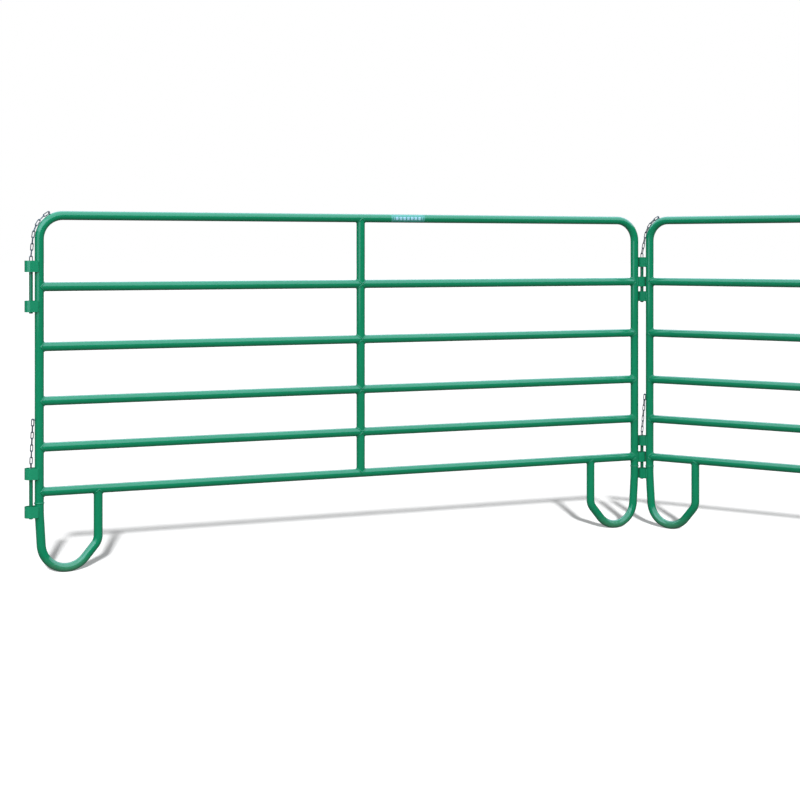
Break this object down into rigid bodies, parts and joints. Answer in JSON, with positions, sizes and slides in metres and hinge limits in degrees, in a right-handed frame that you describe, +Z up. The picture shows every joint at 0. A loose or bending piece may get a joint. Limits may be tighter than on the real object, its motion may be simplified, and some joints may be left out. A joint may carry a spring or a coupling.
{
  "type": "livestock panel gate",
  "caption": "Tubular steel stock panels hinged at a corner on chained drop pins; free ends pin to further panels to close a pen or swing as a gate.",
  "frame": {"origin": "on the ground at the middle of the pair's footprint, with the corner at its rest angle", "axes": "+X along panel a from its pin end to the corner; +Z up; panel b runs from the corner towards +X and -Y"},
  "size_m": [4.4202, 2.78, 1.5276],
  "materials": {
    "green_powder_coat": "satin",
    "strap_powder_coat": "satin",
    "pin_paint": "satin",
    "zinc_plate": "satin",
    "sticker_film": "gloss"
  },
  "bodies": {
    "panel_a": {"a_hoop": "green_powder_coat", "a_rail_2": "green_powder_coat", "a_rail_3": "green_powder_coat", "a_rail_4": "green_powder_coat", "a_rail_5": "green_powder_coat", "a_rail_6": "green_powder_coat", "a_stay_1": "green_powder_coat", "a_stay_2": "green_powder_coat", "a_stay_3": "green_powder_coat", "a_stay_4": "green_powder_coat", "a_stay_5": "green_powder_coat", "a_leg_pin_end": "green_powder_coat", "a_leg_lug_end": "green_powder_coat", "a_upper_pair_top_lug": "strap_powder_coat", "a_upper_pair_bottom_lug": "strap_powder_coat", "a_lower_pair_top_lug": "strap_powder_coat", "a_lower_pair_bottom_lug": "strap_powder_coat", "a_upper_single_lug": "strap_powder_coat", "a_lower_single_lug": "strap_powder_coat", "a_upper_chain_staple": "zinc_plate", "a_lower_chain_staple": "zinc_plate", "a_upper_chain": "zinc_plate", "a_lower_chain": "zinc_plate", "a_blank_sticker": "sticker_film"},
    "a_upper_pin": {"a_upper_drop_pin": "pin_paint", "a_upper_pin_bail": "zinc_plate"},
    "a_lower_pin": {"a_lower_drop_pin": "pin_paint", "a_lower_pin_bail": "zinc_plate"},
    "panel_b": {"b_hoop": "green_powder_coat", "b_rail_2": "green_powder_coat", "b_rail_3": "green_powder_coat", "b_rail_4": "green_powder_coat", "b_rail_5": "green_powder_coat", "b_rail_6": "green_powder_coat", "b_stay_1": "green_powder_coat", "b_stay_2": "green_powder_coat", "b_stay_3": "green_powder_coat", "b_stay_4": "green_powder_coat", "b_stay_5": "green_powder_coat", "b_leg_pin_end": "green_powder_coat", "b_leg_lug_end": "green_powder_coat", "b_upper_pair_top_lug": "strap_powder_coat", "b_upper_pair_bottom_lug": "strap_powder_coat", "b_lower_pair_top_lug": "strap_powder_coat", "b_lower_pair_bottom_lug": "strap_powder_coat", "b_upper_single_lug": "strap_powder_coat", "b_lower_single_lug": "strap_powder_coat", "b_upper_chain_staple": "zinc_plate", "b_lower_chain_staple": "zinc_plate", "b_upper_chain": "zinc_plate", "b_lower_chain": "zinc_plate", "b_blank_sticker": "sticker_film"},
    "b_upper_pin": {"b_upper_drop_pin": "pin_paint", "b_upper_pin_bail": "zinc_plate"},
    "b_lower_pin": {"b_lower_drop_pin": "pin_paint", "b_lower_pin_bail": "zinc_plate"}
  },
  "joints": [
    {"name": "corner_hinge", "type": "hinge", "parent": "panel_a", "child": "panel_b", "pos_m": [0.85363, 1.3661, 0.342], "axis": [0, 0, 1], "range_deg": [-34, 162]},
    {"name": "a_upper_pin_lift", "type": "slide", "parent": "panel_a", "child": "a_upper_pin", "axis": [0, 0, 1], "range_m": [0, 0.15], "deforming": ["a_upper_chain"]},
    {"name": "a_lower_pin_lift", "type": "slide", "parent": "panel_a", "child": "a_lower_pin", "axis": [0, 0, 1], "range_m": [0, 0.15], "deforming": ["a_lower_chain"]},
    {"name": "b_upper_pin_lift", "type": "slide", "parent": "panel_b", "child": "b_upper_pin", "axis": [0, 0, 1], "range_m": [0, 0.15], "deforming": ["b_upper_chain"]},
    {"name": "b_lower_pin_lift", "type": "slide", "parent": "panel_b", "child": "b_lower_pin", "axis": [0, 0, 1], "range_m": [0, 0.15], "deforming": ["b_lower_chain"]}
  ]
}
